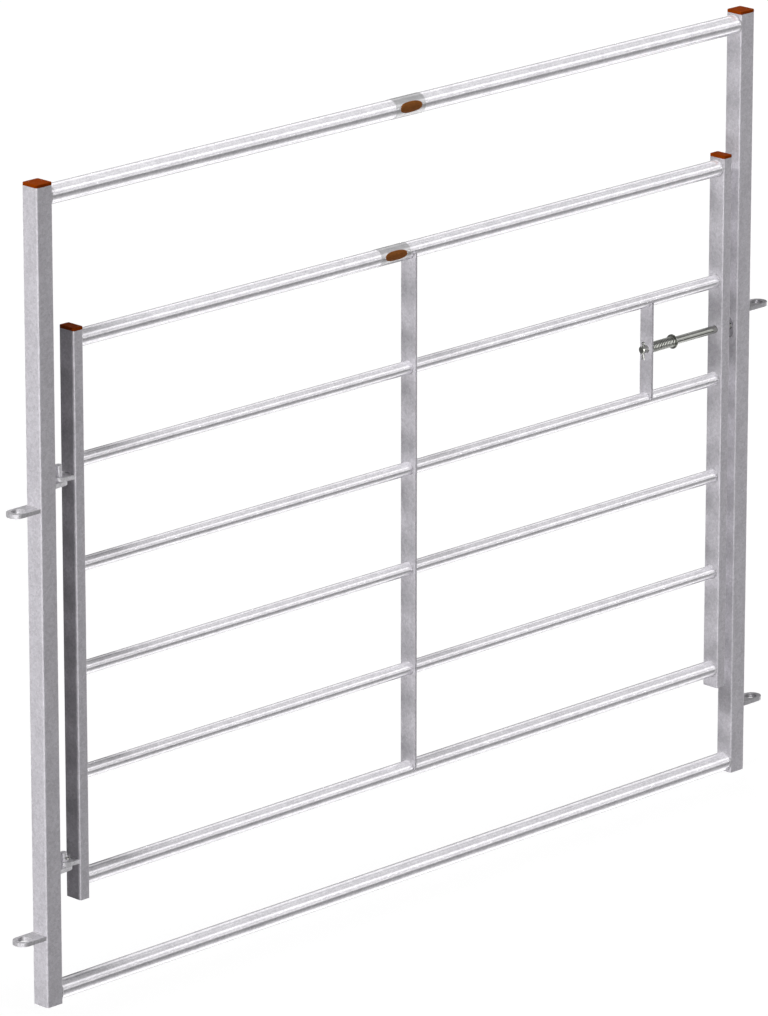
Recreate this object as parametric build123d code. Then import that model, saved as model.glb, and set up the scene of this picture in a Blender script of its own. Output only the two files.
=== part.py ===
# Hurdle gate: a welded box-section frame with a swinging tube gate hung inside it and a
# spring-loaded bolt that shoots into the latch post.
# Millimetres. X runs along the rails from the hinge post to the latch post, Y runs through
# the gateway and Z is up. The origin is on the ground, midway between the two posts.

from build123d import *
import os
from math import acos, atan2, cos, hypot, radians, sin, sqrt, tau

# Frame posts and rails
frame_width = 2438.0  # over the outer faces of the posts
post_height = 2005.0
post_side = 50.0
post_wall = 3.0
post_corner = 5.0  # outside corner radius
frame_rail_od = 48.3
frame_rail_wall = 3.2
frame_rail_drop = 28.5  # post top to the top rail's axis
frame_rail_rise = 27.0  # ground to the bottom rail's axis

# Connection loops on the outer faces of the posts
loop_thickness = 10.0
loop_width = 48.0
loop_reach = 78.0  # post face to the tip
loop_eye_radius = 16.5
loop_eye_reach = 49.0  # post face to the eye's centre
upper_loop_height = 1232.0  # ground to the middle of the plate
lower_loop_height = 176.0

# Gate stiles and rails
hinge_gap = 60.0  # hinge post to hinge stile
latch_gap = 26.0  # latch stile to latch post
ground_clearance = 243.0
stile_length = 1400.0
stile_width = 30.0  # along the rails
stile_depth = 50.0  # through the gateway
stile_wall = 3.0
stile_corner = 4.0
main_rail_od = 42.4  # top and bottom rails of the gate
main_rail_wall = 3.2
mid_rail_od = 33.7
mid_rail_wall = 2.6
top_rail_drop = 27.0  # stile top to the top rail's axis
bottom_rail_rise = 48.0  # stile foot to the bottom rail's axis
lower_rail_gap = 222.7  # clear space between the lower rails
centre_bar_width = 50.0
centre_bar_thickness = 5.0

# Hinges: flat lugs on round pins
lug_thickness = 10.0
lug_root_width = 46.0
lug_nose_radius = 20.0
hinge_pin_od = 16.0
upper_pin_rise = 28.0  # pin above the gate's upper lug
lower_pin_rise = 22.0
pin_chamfer = 1.5
upper_hinge_drop = 358.0  # stile top to the seat between the upper lugs
lower_hinge_rise = 92.0  # stile foot to the seat between the lower lugs
hinge_split_rise = 9.0  # lower lug to the split pin's axis

# Latch: bracket, bolt, washer, spring and slot
bracket_width = 40.0
bracket_thickness = 6.0
bracket_reach = 248.0  # latch stile to the bracket
bolt_od = 20.0
bolt_rise = 2.0  # bolt axis above the middle of the rails beside it
bolt_tail = 17.0  # bolt that stands out of the bracket
bolt_split_stand = 9.5  # bracket to the split pin's axis
bolt_chamfer = 2.0
washer_od = 37.0
washer_thickness = 3.0
washer_weld_leg = 4.0
spring_length = 89.0  # bracket to washer
spring_wire = 3.0
spring_coils = 14  # working coils, between one dead coil at each end
spring_coil_gap = 0.6  # dead coil to the next turn
slot_height = 50.0
slot_width = 24.0
slot_drop = 7.0  # bolt axis down to the slot's middle

# Split pins
split_pin_od = 4.0
split_eye_radius = 3.0  # to the flat inside of the eye
split_neck_radius = 2.6
split_leg_gap = 0.2
split_splay = radians(14.0)
split_bend_radius = 6.0
split_splay_length = 14.5
split_standoff = 1.0  # shank above and below the piece that it goes through

# Tube caps and label bands
cap_head = 7.5
cap_edge_radius = 1.5
cap_plug_depth = 22.0
cap_plug_wall = 2.0
cap_plug_gap = 0.8  # plug to tube, bridged by the fins
cap_fin_thickness = 1.2
cap_fins = 3
label_length = 98.0
label_thickness = 0.6
label_to_bar = 13.0  # gate label to the centre bar

# Clearances
weld_gap = 0.1  # between welded or stuck pieces that meet on a curve
hinge_clearance = 0.5  # lug eye to pin
hinge_seat_gap = 0.4  # between the stacked lugs
bolt_clearance = 0.5  # bolt in its holes and washer, spring on bolt
nose_clearance = 1.2  # drawn bolt to the latch post
spring_seat_gap = 0.2
split_hole_clearance = 0.3

# Places that follow from the sizes
post_axis_x = (frame_width - post_side) / 2
post_face_x = frame_width / 2 - post_side
hinge_axis_x = hinge_gap / 2 - post_face_x
hinge_stile_x = hinge_gap - post_face_x + stile_width / 2
latch_stile_x = post_face_x - latch_gap - stile_width / 2
rail_start_x = hinge_stile_x + stile_width / 2
rail_end_x = latch_stile_x - stile_width / 2
gate_middle_x = (rail_start_x + rail_end_x) / 2
stile_top = ground_clearance + stile_length
top_rail_z = stile_top - top_rail_drop
bottom_rail_z = ground_clearance + bottom_rail_rise
fifth_rail_z = bottom_rail_z + main_rail_od / 2 + lower_rail_gap + mid_rail_od / 2
mid_rail_pitch = mid_rail_od + lower_rail_gap
mid_rail_names = ["gate_fifth_rail", "gate_fourth_rail", "gate_third_rail", "gate_second_rail"]
mid_rail_heights = [fifth_rail_z + i * mid_rail_pitch for i in range(len(mid_rail_names))]
third_rail_z, second_rail_z = mid_rail_heights[-2:]
upper_seat_z = stile_top - upper_hinge_drop
lower_seat_z = ground_clearance + lower_hinge_rise
bolt_z = (second_rail_z + third_rail_z) / 2 + bolt_rise
bracket_near_x = rail_end_x - bracket_reach
bracket_far_x = bracket_near_x - bracket_thickness
washer_x = bracket_near_x + spring_length
bolt_tail_x = bracket_far_x - bolt_tail
bolt_nose_x = post_face_x - nose_clearance
bolt_split_x = bracket_far_x - bolt_split_stand
bolt_hole_radius = bolt_od / 2 + bolt_clearance
split_hole_radius = split_pin_od / 2 + split_hole_clearance
lower_lug_top = lower_seat_z + hinge_seat_gap + lug_thickness
hinge_split_z = lower_lug_top + hinge_split_rise

parts = {}


def rod(radius, x_from, x_to, z):
    """Solid round bar along X between two places."""
    return Pos((x_from + x_to) / 2, 0, z) * Rot(0, 90, 0) * Cylinder(radius, x_to - x_from)


def pipe(od, wall, x_from, x_to, z):
    """Round tube along X between two places."""
    return rod(od / 2, x_from, x_to, z) - rod(od / 2 - wall, x_from, x_to, z)


def box_tube(width, depth, wall, corner, length):
    """Open-ended box-section tube standing on z = 0."""
    outside = RectangleRounded(width, depth, corner)
    inside = RectangleRounded(width - 2 * wall, depth - 2 * wall, corner - wall)
    return extrude(outside - inside, length)


def tube_cap(width, depth, wall, corner):
    """Push-in tube cap: a flush head on z = 0 over a hollow plug with fins that grip the tube."""
    head = extrude(RectangleRounded(width, depth, corner), cap_head)
    head = fillet(head.faces().sort_by(Axis.Z)[-1].edges(), cap_edge_radius)
    bore_width = width - 2 * wall
    bore_depth = depth - 2 * wall
    bore_corner = corner - wall
    plug_width = bore_width - 2 * cap_plug_gap
    plug_depth = bore_depth - 2 * cap_plug_gap
    hollow = Rectangle(plug_width - 2 * cap_plug_wall, plug_depth - 2 * cap_plug_wall)
    body = head + extrude(Rectangle(plug_width, plug_depth) - hollow, -cap_plug_depth)
    fin_face = RectangleRounded(bore_width - 2 * weld_gap, bore_depth - 2 * weld_gap, bore_corner)
    fin = extrude(fin_face - hollow, cap_fin_thickness)
    step = cap_plug_depth / (cap_fins + 1)
    for i in range(cap_fins):
        body += Pos(0, 0, -step * (i + 1)) * fin
    return body


def loop_plate():
    """Connection loop: a plate with a round end and an eye, its root on x = 0, reaching along X."""
    end_radius = loop_width / 2
    shank = loop_reach - end_radius
    outline = Pos(shank / 2, 0) * Rectangle(shank, loop_width) + Pos(shank, 0) * Circle(end_radius)
    eye = Pos(loop_eye_reach, 0) * Circle(loop_eye_radius)
    return Pos(0, 0, -loop_thickness / 2) * extrude(outline - eye, loop_thickness)


def hinge_lug(hole_radius):
    """Hinge lug on z = 0: a nose round the hinge axis, whose tangents run out to a wider root along +X."""
    root_x = hinge_gap / 2
    root_y = lug_root_width / 2
    turn = atan2(root_y, root_x) + acos(lug_nose_radius / hypot(root_x, root_y))
    touch_x = lug_nose_radius * cos(turn)
    touch_y = lug_nose_radius * sin(turn)
    sides = Polyline((touch_x, touch_y), (root_x, root_y), (root_x, -root_y), (touch_x, -touch_y))
    nose = ThreePointArc((touch_x, -touch_y), (-lug_nose_radius, 0), (touch_x, touch_y))
    return extrude(make_face([sides, nose]) - Circle(hole_radius), lug_thickness)


def split_pin(shank):
    """Split pin hanging from z = 0 in the XZ plane: half-round wire from one splayed leg, up the
    shank, round the eye and down the other leg, with the flats facing each other."""
    half_gap = split_leg_gap / 2
    centre_gap = split_neck_radius + split_eye_radius
    eye_z = sqrt(centre_gap**2 - (half_gap + split_neck_radius) ** 2)
    neck = acos((half_gap + split_neck_radius) / centre_gap)

    def neck_point(angle):
        x = half_gap + split_neck_radius * (1 - cos(angle))
        return x, split_neck_radius * sin(angle)

    def bend_point(angle):
        x = half_gap + split_bend_radius * (1 - cos(angle))
        return x, -shank - split_bend_radius * sin(angle)

    bend_x, bend_z = bend_point(split_splay)
    tip_x = bend_x + split_splay_length * sin(split_splay)
    tip_z = bend_z - split_splay_length * cos(split_splay)
    rise = [
        ((tip_x, tip_z), None, (bend_x, bend_z)),
        ((bend_x, bend_z), bend_point(split_splay / 2), bend_point(0)),
        (bend_point(0), None, neck_point(0)),
        (neck_point(0), neck_point(neck / 2), neck_point(neck)),
    ]

    def edge(start, middle, end, side):
        points = [(side * p[0], 0, p[1]) for p in (start, middle, end) if p]
        return Line(*points) if middle is None else ThreePointArc(*points)

    left = [edge(*piece, -1) for piece in rise]
    right = [edge(end, middle, start, 1) for start, middle, end in reversed(rise)]
    shoulder_x, shoulder_z = neck_point(neck)
    crown = (0, 0, eye_z + split_eye_radius)
    eye = ThreePointArc((-shoulder_x, 0, shoulder_z), crown, (shoulder_x, 0, shoulder_z))
    path = Wire(left + [eye] + right)
    radius = split_pin_od / 2
    heading = Vector(sin(split_splay), 0, cos(split_splay))
    outward = Vector(-cos(split_splay), 0, sin(split_splay))
    flat = Line((0, -radius), (0, radius))
    round_side = ThreePointArc((0, radius), (radius, 0), (0, -radius))
    section = Plane((-tip_x, 0, tip_z), x_dir=outward, z_dir=heading) * make_face([flat, round_side])
    return sweep(section, path=path)


def arc_pair(start, start_heading, end, end_heading):
    """Two tangent arcs from one point and heading to another."""
    chord = end - start
    both = start_heading + end_heading
    square = both.dot(both) - 4
    reach = (chord.dot(both) - sqrt(chord.dot(both) ** 2 - square * chord.dot(chord))) / square
    if reach < 0:
        reach = (chord.dot(both) + sqrt(chord.dot(both) ** 2 - square * chord.dot(chord))) / square
    joint = (start + start_heading * reach + end - end_heading * reach) / 2
    heading = (end - end_heading * reach - start - start_heading * reach).normalized()
    return [TangentArc(start, joint, tangent=start_heading), TangentArc(joint, end, tangent=heading)]


def coil_spring():
    """Compression spring along X from x = 0: a flat dead coil at each end, which climbs in its last
    quarter turn, and evenly pitched coils between, wound in quarter turns of two arcs each."""
    mean_radius = bolt_hole_radius + spring_wire / 2
    seat = spring_seat_gap + spring_wire / 2
    climb = spring_wire + spring_coil_gap
    pitch = (spring_length - 2 * seat - 2 * climb) / spring_coils
    steps = [0, 0, 0, climb] + [pitch / 4] * (4 * spring_coils) + [climb, 0, 0, 0]
    slopes = [0] * 4 + [pitch / 4] * (4 * spring_coils + 1) + [0] * 4
    places = [seat]
    for step in steps:
        places.append(places[-1] + step)

    def on_coil(i):
        angle = tau * i / 4
        point = Vector(places[i], mean_radius * cos(angle), mean_radius * sin(angle))
        arc = mean_radius * tau / 4
        heading = Vector(slopes[i], -arc * sin(angle), arc * cos(angle)).normalized()
        return point, heading

    edges = []
    for i in range(len(steps)):
        edges += arc_pair(*on_coil(i), *on_coil(i + 1))
    first, first_heading = on_coil(0)
    last, last_heading = on_coil(len(steps))
    lead_in = Line(first - first_heading * spring_wire, first)
    lead_out = Line(last, last + last_heading * spring_wire)
    path = Wire([lead_in] + edges + [lead_out])
    report_coil_gap(edges)
    section = Plane(first - first_heading * spring_wire, z_dir=first_heading) * Circle(spring_wire / 2)
    return sweep(section, path=path)


def report_coil_gap(edges):
    """Print the least gap of the spring's wire to itself, measured on points along its arcs."""
    samples = 6
    points = [e @ (k / samples) for e in edges for k in range(samples)]
    skip = 4 * samples  # half a turn along the wire
    gaps = [(p - q).length for i, p in enumerate(points) for q in points[i + skip :]]
    print(f"latch_spring: least gap to itself {min(gaps) - spring_wire:.2f} mm")


# Frame posts, with the bolt's slot in the latch post
post = box_tube(post_side, post_side, post_wall, post_corner, post_height)
slot_face = Plane((post_face_x, 0, bolt_z - slot_drop), x_dir=(0, 0, 1), z_dir=(1, 0, 0))
slot = extrude(slot_face * SlotOverall(slot_height, slot_width), post_side / 2, both=True)
parts["hinge_post"] = Pos(-post_axis_x, 0, 0) * post
parts["latch_post"] = Pos(post_axis_x, 0, 0) * post - slot
post_cap = Pos(0, 0, post_height) * tube_cap(post_side, post_side, post_wall, post_corner)
parts["hinge_post_cap"] = Pos(-post_axis_x, 0, 0) * post_cap
parts["latch_post_cap"] = Pos(post_axis_x, 0, 0) * post_cap

# Frame rails
top_frame_rail_z = post_height - frame_rail_drop
frame_rail_heights = {"frame_top_rail": top_frame_rail_z, "frame_bottom_rail": frame_rail_rise}
for name, z in frame_rail_heights.items():
    parts[name] = pipe(frame_rail_od, frame_rail_wall, -post_face_x, post_face_x, z)

# Connection loops
for level, z in {"upper": upper_loop_height, "lower": lower_loop_height}.items():
    parts[f"hinge_post_{level}_loop"] = Pos(-frame_width / 2, 0, z) * Rot(0, 0, 180) * loop_plate()
    parts[f"latch_post_{level}_loop"] = Pos(frame_width / 2, 0, z) * loop_plate()

# Gate stiles, with the bolt's hole through the latch stile
stile = Pos(0, 0, ground_clearance) * box_tube(
    stile_width, stile_depth, stile_wall, stile_corner, stile_length
)
bolt_hole = rod(bolt_hole_radius, latch_stile_x - stile_width, latch_stile_x + stile_width, bolt_z)
parts["gate_hinge_stile"] = Pos(hinge_stile_x, 0, 0) * stile
parts["gate_latch_stile"] = Pos(latch_stile_x, 0, 0) * stile - bolt_hole
stile_cap = Pos(0, 0, stile_top) * tube_cap(stile_width, stile_depth, stile_wall, stile_corner)
parts["gate_hinge_stile_cap"] = Pos(hinge_stile_x, 0, 0) * stile_cap
parts["gate_latch_stile_cap"] = Pos(latch_stile_x, 0, 0) * stile_cap

# Gate rails, and the space that each one takes up in the bars that it meets
rail_space = []
for name, z in {"gate_top_rail": top_rail_z, "gate_bottom_rail": bottom_rail_z}.items():
    parts[name] = pipe(main_rail_od, main_rail_wall, rail_start_x, rail_end_x, z)
    rail_space.append(rod(main_rail_od / 2 + weld_gap, rail_start_x, rail_end_x, z))
for name, z in zip(mid_rail_names, mid_rail_heights):
    parts[name] = pipe(mid_rail_od, mid_rail_wall, rail_start_x, rail_end_x, z)
    rail_space.append(rod(mid_rail_od / 2 + weld_gap, rail_start_x, rail_end_x, z))


def coped_bar(x, thickness, width, z_from, z_to):
    """Upright flat bar between two rail axes, holed for the rails that cross it and coped at its ends."""
    bar = Pos(x, 0, (z_from + z_to) / 2) * Box(thickness, width, z_to - z_from)
    return (bar - rail_space).solids().sort_by(SortBy.VOLUME)[-1]


parts["gate_centre_bar"] = coped_bar(
    gate_middle_x, centre_bar_thickness, centre_bar_width, bottom_rail_z, top_rail_z
)
bracket_x = (bracket_near_x + bracket_far_x) / 2
bracket = coped_bar(bracket_x, bracket_thickness, bracket_width, third_rail_z, second_rail_z)
parts["latch_bracket"] = bracket - rod(bolt_hole_radius, bracket_far_x, bracket_near_x, bolt_z)

# Hinges: each post lug holds a pin, and the gate's lug turns on it
cross_hole = Pos(hinge_axis_x, 0, hinge_split_z) * Rot(90, 0, 0) * Cylinder(split_hole_radius, hinge_pin_od)
for level, seat_z, rise in (("upper", upper_seat_z, upper_pin_rise), ("lower", lower_seat_z, lower_pin_rise)):
    on_axis = Pos(hinge_axis_x, 0, seat_z)
    post_lug = Pos(0, 0, -lug_thickness) * Rot(0, 0, 180) * hinge_lug(hinge_pin_od / 2 + weld_gap)
    gate_lug = Pos(0, 0, hinge_seat_gap) * hinge_lug(hinge_pin_od / 2 + hinge_clearance)
    pin_length = 2 * lug_thickness + hinge_seat_gap + rise
    pin = extrude(Circle(hinge_pin_od / 2), pin_length)
    pin = chamfer(pin.faces().sort_by(Axis.Z)[-1].edges(), pin_chamfer)
    parts[f"{level}_hinge_bracket"] = on_axis * post_lug
    parts[f"{level}_hinge_eye"] = on_axis * gate_lug
    parts[f"{level}_hinge_pin"] = on_axis * Pos(0, 0, -lug_thickness) * pin - cross_hole
pin_side = hinge_pin_od / 2 + split_standoff
hinge_split = Rot(90, 0, 0) * Pos(0, 0, pin_side) * split_pin(2 * pin_side)
parts["hinge_split_pin"] = Pos(hinge_axis_x, 0, hinge_split_z) * hinge_split

# Latch bolt, its split pin, and the washer that the spring pushes on
bolt = rod(bolt_od / 2, bolt_tail_x, bolt_nose_x, bolt_z)
bolt = chamfer(bolt.edges().filter_by(GeomType.CIRCLE), bolt_chamfer)
parts["latch_bolt"] = bolt - Pos(bolt_split_x, 0, bolt_z) * Cylinder(split_hole_radius, bolt_od)
bolt_side = bolt_od / 2 + split_standoff
bolt_split = Rot(0, 0, 90) * Pos(0, 0, bolt_side) * split_pin(2 * bolt_side)
parts["bolt_split_pin"] = Pos(bolt_split_x, 0, bolt_z) * bolt_split
washer_end_x = washer_x + washer_thickness
washer = rod(washer_od / 2, washer_x, washer_end_x, bolt_z)
parts["bolt_washer"] = washer - rod(bolt_hole_radius, washer_x, washer_end_x, bolt_z)
weld_foot = bolt_od / 2 + weld_gap
weld_face = make_face(
    Polyline((0, weld_foot), (0, weld_foot + washer_weld_leg), (washer_weld_leg, weld_foot), close=True)
)
parts["washer_weld"] = Pos(washer_end_x, 0, bolt_z) * revolve(weld_face, Axis.X)
parts["latch_spring"] = Pos(bracket_near_x, 0, bolt_z) * coil_spring()

# Label bands round the two top rails
gate_label_end = gate_middle_x - centre_bar_thickness / 2 - label_to_bar
labels = {
    "frame_label_band": (frame_rail_od, -label_length / 2, top_frame_rail_z),
    "gate_label_band": (main_rail_od, gate_label_end - label_length, top_rail_z),
}
for name, (rail_od, x, z) in labels.items():
    band_od = rail_od + 2 * (weld_gap + label_thickness)
    parts[name] = pipe(band_od, label_thickness, x, x + label_length, z)

os.makedirs("parts", exist_ok=True)
for name, shape in parts.items():
    export_step(shape, f"parts/{name}.step")
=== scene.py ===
# %% [markdown]
# A hurdle gate for handling stock: a box-section frame that stands on its two posts, a tube gate
# that swings inside it, and a bolt that a coil spring pushes towards the latch post. The packed
# solids already have every size and every joint. This lesson dresses them: the room that the
# metal mirrors, the bloom of hot-dipped zinc, the weld beads, the spring and the plastic caps.

import bmesh
import bpy
import numpy as np
from mathutils import Euler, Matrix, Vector


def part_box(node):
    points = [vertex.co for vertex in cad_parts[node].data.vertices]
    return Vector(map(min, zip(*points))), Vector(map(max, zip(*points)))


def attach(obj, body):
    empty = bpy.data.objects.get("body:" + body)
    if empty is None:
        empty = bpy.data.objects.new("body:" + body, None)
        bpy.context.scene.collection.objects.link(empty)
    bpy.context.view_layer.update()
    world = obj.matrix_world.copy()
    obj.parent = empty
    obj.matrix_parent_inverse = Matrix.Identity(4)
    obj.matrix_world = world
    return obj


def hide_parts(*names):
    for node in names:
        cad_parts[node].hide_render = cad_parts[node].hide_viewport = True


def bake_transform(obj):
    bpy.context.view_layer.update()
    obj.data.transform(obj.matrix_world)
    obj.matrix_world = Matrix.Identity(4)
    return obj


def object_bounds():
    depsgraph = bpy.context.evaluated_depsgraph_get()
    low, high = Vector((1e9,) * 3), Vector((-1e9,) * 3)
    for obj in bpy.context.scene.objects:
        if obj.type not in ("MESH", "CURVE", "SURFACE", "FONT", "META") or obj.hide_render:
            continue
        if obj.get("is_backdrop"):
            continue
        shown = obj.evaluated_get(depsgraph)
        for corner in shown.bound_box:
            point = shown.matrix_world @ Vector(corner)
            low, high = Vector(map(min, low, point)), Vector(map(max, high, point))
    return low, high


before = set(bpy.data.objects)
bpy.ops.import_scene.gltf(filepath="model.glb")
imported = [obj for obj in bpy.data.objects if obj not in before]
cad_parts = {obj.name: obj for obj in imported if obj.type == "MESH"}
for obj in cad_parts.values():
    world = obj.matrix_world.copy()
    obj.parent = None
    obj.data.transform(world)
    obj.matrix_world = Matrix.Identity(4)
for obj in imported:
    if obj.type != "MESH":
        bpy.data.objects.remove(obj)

MM = 0.001
cad_low, cad_high = (list(corner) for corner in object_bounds())
print("solids:", len(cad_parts), "box:", np.round(cad_low, 3), np.round(cad_high, 3))

# %% [markdown]
# A camera is fixed by where it stands, which way it looks and how long its lens is. It could be
# turned by eye until the picture looks right, but the straight edges of the gate give all three:
# the lines of its posts and rails were traced in the photograph, and the camera that draws the
# gate along those lines was solved from them. It stands nearly 19 m off with a long lens, which
# is why the rails run almost parallel. The sensor's size counts along the picture's longer side,
# so the lens is worked out from the picture's height.

# %% Camera
CAMERA_PLACE = (-12.6328, -12.5594, 6.5064)
CAMERA_YAW = np.radians(-45.01)
CAMERA_DOWN = np.radians(17.275)
FOCAL_PIXELS = 7651.2
PICTURE_HEIGHT = 1016
SENSOR = 36.0
SEES_TO = 200.0

camera_data = bpy.data.cameras.new("camera")
camera_data.sensor_width = SENSOR
camera_data.lens = FOCAL_PIXELS * SENSOR / PICTURE_HEIGHT
camera_data.clip_end = SEES_TO
camera = bpy.data.objects.new("camera", camera_data)
camera.location = CAMERA_PLACE
camera.rotation_euler = Euler((np.pi / 2 - CAMERA_DOWN, 0.0, CAMERA_YAW))
bpy.context.scene.collection.objects.link(camera)
bpy.context.scene.camera = camera
bpy.context.scene.view_settings.view_transform = "Standard"
print("lens:", round(camera_data.lens, 1), "mm")

# %% [markdown]
# Every finish and the room itself are node trees, so a few small helpers come first. The first
# one adds a node, sets its properties and fills its sockets, and a socket takes either a plain
# value or the output of a node made earlier. The others do the same for the nodes that come up
# most: sums, changes of range and noise. A tree then reads from its sources down to its result.

# %% Node helpers


def add_node(tree, kind, feeds=(), **settings):
    """Adds a shader node, sets its properties, and feeds its sockets with values or outputs."""
    node = tree.nodes.new(kind if kind.startswith("Node") else "ShaderNode" + kind)
    for name, value in settings.items():
        setattr(node, name, value)
    for socket, value in dict(feeds).items():
        if isinstance(value, bpy.types.NodeSocket):
            tree.links.new(value, node.inputs[socket])
        else:
            node.inputs[socket].default_value = value
    return node


def add_math(tree, operation, *values, **settings):
    """Adds a Math node that takes values or outputs in order, and returns its result."""
    node = add_node(tree, "Math", enumerate(values), operation=operation, **settings)
    return node.outputs[0]


def add_vector_math(tree, operation, *vectors):
    """Adds a Vector Math node that takes vectors or outputs in order, and returns its vector."""
    return add_node(tree, "VectorMath", enumerate(vectors), operation=operation).outputs[0]


def add_range(tree, value, given=(0.0, 1.0), gives=(0.0, 1.0)):
    """Adds a Map Range node: while the value runs over given, the result runs over gives."""
    ends = dict(zip(("From Min", "From Max", "To Min", "To Max"), (*given, *gives)))
    return add_node(tree, "MapRange", {"Value": value, **ends}).outputs["Result"]


def add_noise(tree, where, scale, detail, roughness=0.5):
    """Adds a noise pattern on a place, and returns its outputs: a value and a colour."""
    feeds = {"Vector": where, "Scale": scale, "Detail": detail, "Roughness": roughness}
    return add_node(tree, "TexNoise", feeds).outputs


helpers = (add_node, add_math, add_vector_math, add_range, add_noise)
print("node helpers:", [helper.__name__ for helper in helpers])

# %% [markdown]
# Bright metal has little colour of its own: it shows the room. A round rail shows nearly all of
# the room at once, squeezed into stripes that run along it, so the stripes say what the room
# was: strips of light and dark that lie parallel to the gate. Going up from the floor in front
# there is white paper, a dark skirting, a wall, a bright window and a dim ceiling. Behind the
# gate only the upper part of the far wall is lit. Painting that as one curve over the angle
# round the rails, with zero straight in front and 90 degrees overhead, is simpler than building
# walls. The camera itself sees plain white, and dull surfaces get only a weak, even share, so
# that the lamps shape them.

# %% The room
ROOM = (
    (-180, 0.18),
    (-140, 0.18),
    (-124, 1.20),
    (-108, 2.00),
    (-80, 2.10),
    (-68, 1.60),
    (-60, 1.14),
    (-54, 0.76),
    (-44, 0.50),
    (-36, 0.36),
    (-30, 0.24),
    (-16, 0.14),
    (-8, 0.24),
    (-3, 1.20),
    (6, 1.09),
    (14, 0.79),
    (22, 0.97),
    (30, 1.32),
    (41, 1.80),
    (49, 0.95),
    (57, 0.47),
    (70, 0.42),
    (88, 0.38),
    (106, 0.14),
    (118, 0.58),
    (140, 1.08),
    (147, 0.75),
    (152, 0.12),
    (180, 0.12),
)
ROOM_PEAK = max(brightness for _, brightness in ROOM)
AMBIENT = 0.08


def fill_ramp(ramp, stops):
    """Sets a colour ramp to grey stops, given as place and brightness pairs."""
    while len(ramp.elements) < len(stops):
        ramp.elements.new(1.0)
    for element, (place, grey) in zip(ramp.elements, stops):
        element.position = place
        element.color = (grey, grey, grey, 1.0)


def add_mix(tree, share, first, second):
    """Adds a Mix node that runs from the first value to the second with the share."""
    # a Mix node takes its share at socket 0 and plain values at sockets 2 and 3
    return add_node(tree, "Mix", {0: share, 2: first, 3: second}).outputs[0]


world = bpy.data.worlds.new("white_room")
world.use_nodes = True
bpy.context.scene.world = world
tree = world.node_tree
path = add_node(tree, "LightPath").outputs
mirrored = add_math(tree, "MAXIMUM", path["Is Glossy Ray"], path["Is Transmission Ray"])
outlook = add_node(tree, "TexCoord").outputs["Generated"]
heading = add_node(tree, "SeparateXYZ", {0: outlook}).outputs
front = add_math(tree, "MULTIPLY", heading["Y"], -1.0)
roll = add_math(tree, "ARCTAN2", heading["Z"], front)
place = add_range(tree, roll, given=(-np.pi, np.pi))
ramp = add_node(tree, "ValToRGB", {"Fac": place})
stops = [(0.5 + angle / 360, level / ROOM_PEAK) for angle, level in ROOM]
fill_ramp(ramp.color_ramp, stops)
walls = add_math(tree, "MULTIPLY", ramp.outputs["Color"], ROOM_PEAK)
to_metal = add_mix(tree, mirrored, AMBIENT, walls)
to_eye = add_mix(tree, path["Is Camera Ray"], to_metal, 1.0)
background = tree.nodes["Background"].inputs
tree.links.new(to_eye, background["Strength"])
background["Color"].default_value = (1.0, 1.0, 1.0, 1.0)
print("room:", len(stops), "stops round the rails")

# %% [markdown]
# The floor has two jobs. To the eye it is white paper that still takes a faint shadow. Lamps
# strong enough to make paper white would wash the gate out, so it glows a little below white and
# the lamps lift it the rest of the way. To the gate it is a pale grey that throws some light back
# up. Light Path tells the two apart. The metal is not shown the floor at all: the room's curve
# already holds a floor, without an edge.

# %% Floor
FLOOR_HALF = 40.0
FLOOR_GLOW = 0.93
FLOOR_LIFT = 0.15
FLOOR_BOUNCE = 0.20

corners = FLOOR_HALF * np.array([(-1, -1, 0), (1, -1, 0), (1, 1, 0), (-1, 1, 0)])
floor_mesh = bpy.data.meshes.new("floor")
floor_mesh.from_pydata(corners.tolist(), [], [(0, 1, 2, 3)])
floor = bpy.data.objects.new("floor", floor_mesh)
bpy.context.scene.collection.objects.link(floor)
floor_paper = bpy.data.materials.new("floor_paper")
floor_paper.use_nodes = True
tree = floor_paper.node_tree
tree.nodes.clear()
seen = add_node(tree, "LightPath").outputs["Is Camera Ray"]
tone = add_range(tree, seen, gives=(FLOOR_BOUNCE, FLOOR_LIFT))
lift = add_node(tree, "BsdfDiffuse", {"Color": tone})
level = add_math(tree, "MULTIPLY", seen, FLOOR_GLOW)
glow = add_node(tree, "Emission", {"Strength": level})
both = add_node(tree, "AddShader", {0: lift.outputs[0], 1: glow.outputs[0]})
add_node(tree, "OutputMaterial", {"Surface": both.outputs[0]})
floor_mesh.materials.append(floor_paper)
floor.visible_glossy = False
floor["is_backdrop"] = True
print("floor:", 2 * FLOOR_HALF, "m a side")

# %% [markdown]
# Most of the light comes from the hinge end. A low key there lights what faces that end, and the
# hinge post takes it full. A slanting lamp lights what faces up. Three more rake along the rails
# from a little behind them, one on the frame's and two on the gate's. A low fill from the right,
# in two halves, brings the front faces to a middle grey, and a low back lamp does the same for
# the far side. A last one hangs overhead. None of these shows in the metal: the room's curve is
# what it mirrors. A wide screen in front is the other way round. It lights nothing, but the
# metal mirrors it, and it draws the thin light lines down the rounded corners. Strength here is
# the brightness of a white card that faces the lamp, which is easier to think in than watts.

# %% Lamps
AIM = Vector((0.0, 0.0, 1.0))
RAKE_SIDE = (-0.633, 0.112, 0.766)
FILL_SIDE = (0.70, -0.71, 0.12)


def lamp(name, toward, distance, size, strength):
    """Round soft lamp in a direction from the gate. A white card facing it renders at strength
    when its watts are strength times pi squared times the distance squared."""
    way = Vector(toward).normalized()
    data = bpy.data.lights.new(name, "AREA")
    data.shape = "DISK"
    data.size = size
    data.energy = strength * np.pi**2 * distance**2
    light = bpy.data.objects.new(name, data)
    light.location = AIM + way * distance
    light.rotation_euler = way.to_track_quat("Z", "Y").to_euler()
    light.visible_glossy = False
    bpy.context.scene.collection.objects.link(light)
    return light


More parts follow.
